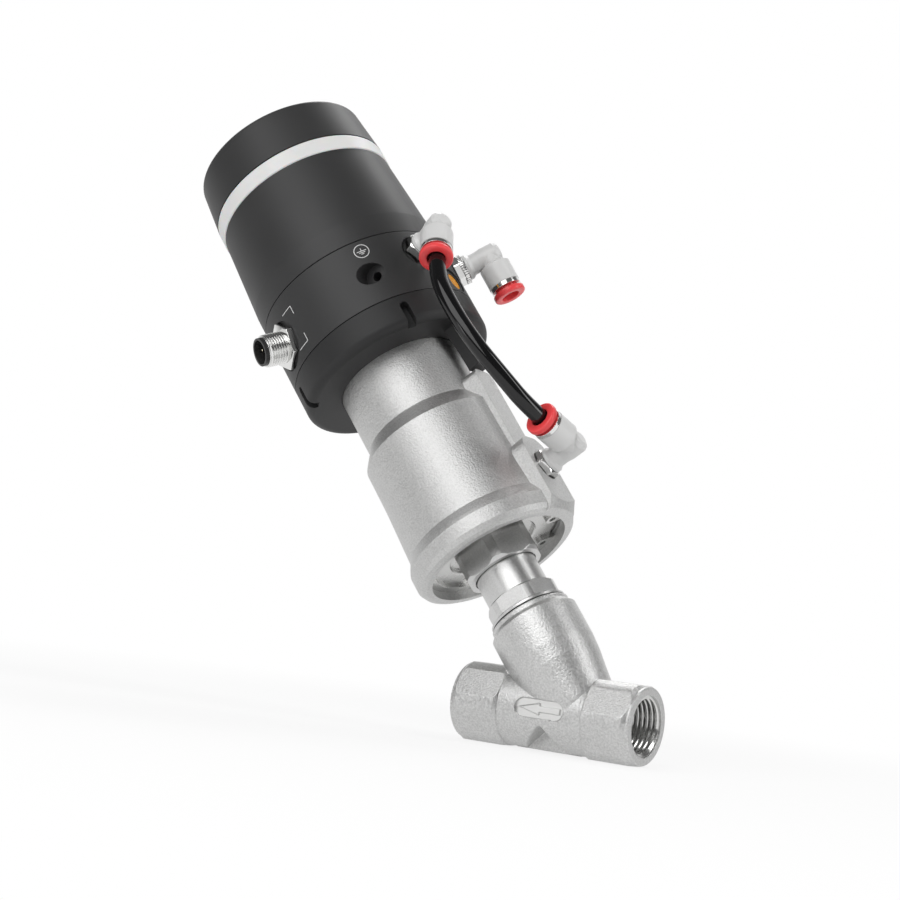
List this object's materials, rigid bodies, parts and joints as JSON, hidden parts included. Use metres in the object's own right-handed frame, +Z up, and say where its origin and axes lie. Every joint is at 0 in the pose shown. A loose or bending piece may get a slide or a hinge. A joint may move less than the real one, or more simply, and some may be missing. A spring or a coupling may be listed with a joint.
{
  "type": "pneumatic control valve",
  "caption": "Angle-seat valve with threaded ports, a leaning piston actuator and a control head fed through push-in elbows and a short air tube.",
  "frame": {"origin": "centre of the inlet port's end face", "axes": "+X along the pipe, out of the inlet; +Z up in the plane of the pipe and the actuator; the actuator leans 40 degrees from +Z towards -X"},
  "size_m": [0.2106, 0.0782, 0.2277],
  "materials": {
    "cast_steel": "blasted casting",
    "turned_steel": "turned",
    "spring_steel": "wound wire",
    "piston_metal": "turned",
    "black_rubber": "moulded",
    "white_packing": "machined",
    "head_black": "satin moulded",
    "light_white": "translucent",
    "board_green": "coated board",
    "inner_plastic": "moulded",
    "plated_brass": "nickel plated",
    "contact_brass": "gold plated",
    "sintered_orange": "sintered",
    "elbow_grey": "moulded",
    "ring_red": "moulded",
    "tube_black": "extruded"
  },
  "bodies": {
    "valve": {"valve_body": "cast_steel", "bonnet": "turned_steel", "bonnet_gasket": "black_rubber", "union_nut": "turned_steel", "gland_nut": "turned_steel", "stem_bush": "white_packing", "packing_rings": "white_packing", "stem_wiper": "black_rubber"},
    "plug_group": {"stem": "turned_steel", "valve_plug": "turned_steel", "seat_seal": "white_packing", "plug_nut": "turned_steel", "piston": "piston_metal", "piston_seal": "black_rubber", "piston_nut": "turned_steel", "sensor_rod": "turned_steel"},
    "supply_arm": {"supply_elbow": "elbow_grey", "supply_sleeve": "plated_brass"},
    "head_ring": {"head_port_ring": "ring_red"},
    "casing_ring": {"air_port_ring": "ring_red"},
    "supply_ring": {"supply_ring": "ring_red"},
    "actuator": {"actuator_casing": "cast_steel", "bottom_plate": "turned_steel", "snap_ring": "turned_steel", "skirt_screws": "turned_steel", "actuator_spring": "spring_steel", "plate_seal": "black_rubber", "neck_seal": "black_rubber", "base_gasket": "black_rubber", "head_port_seal": "black_rubber", "supply_seal": "black_rubber", "air_port_seal": "black_rubber", "head_skirt": "head_black", "head_base": "head_black", "head_cover": "head_black", "top_cap": "head_black", "light_ring": "light_white", "circuit_board": "board_green", "pilot_valve": "inner_plastic", "position_sensor": "inner_plastic", "connector_insert": "inner_plastic", "head_port_stem": "plated_brass", "supply_stem": "plated_brass", "air_port_stem": "plated_brass", "head_port_sleeve": "plated_brass", "air_port_sleeve": "plated_brass", "connector_shell": "plated_brass", "board_pillars": "plated_brass", "connector_pins": "contact_brass", "exhaust_silencer": "sintered_orange", "head_port_elbow": "elbow_grey", "air_port_elbow": "elbow_grey", "air_tube": "tube_black"}
  },
  "joints": [
    {"name": "actuator_swivel", "type": "hinge", "parent": "valve", "child": "actuator", "pos_m": [-0.0235, 0, 0], "axis": [-0.6428, 0, 0.766], "continuous": true},
    {"name": "valve_stroke", "type": "slide", "parent": "actuator", "child": "plug_group", "axis": [-0.6428, 0, 0.766], "range_m": [0, 0.01], "stiffness_N_per_m": 6000, "springref_m": -0.03, "deforming": ["actuator_spring"]},
    {"name": "supply_elbow_swivel", "type": "hinge", "parent": "actuator", "child": "supply_arm", "pos_m": [-0.13541, 0, 0.13337], "axis": [0.6764, 0.4695, 0.5675], "continuous": true},
    {"name": "head_ring_press", "type": "slide", "parent": "actuator", "child": "head_ring", "axis": [-0.4218, 0.5138, 0.7471], "range_m": [0, 0.0011], "stiffness_N_per_m": 1000},
    {"name": "casing_ring_press", "type": "slide", "parent": "actuator", "child": "casing_ring", "axis": [0.2917, 0.8604, -0.4178], "range_m": [0, 0.0011], "stiffness_N_per_m": 1000},
    {"name": "supply_ring_press", "type": "slide", "parent": "supply_arm", "child": "supply_ring", "axis": [-0.5865, -0.1229, 0.8006], "range_m": [0, 0.0011], "stiffness_N_per_m": 1000}
  ]
}
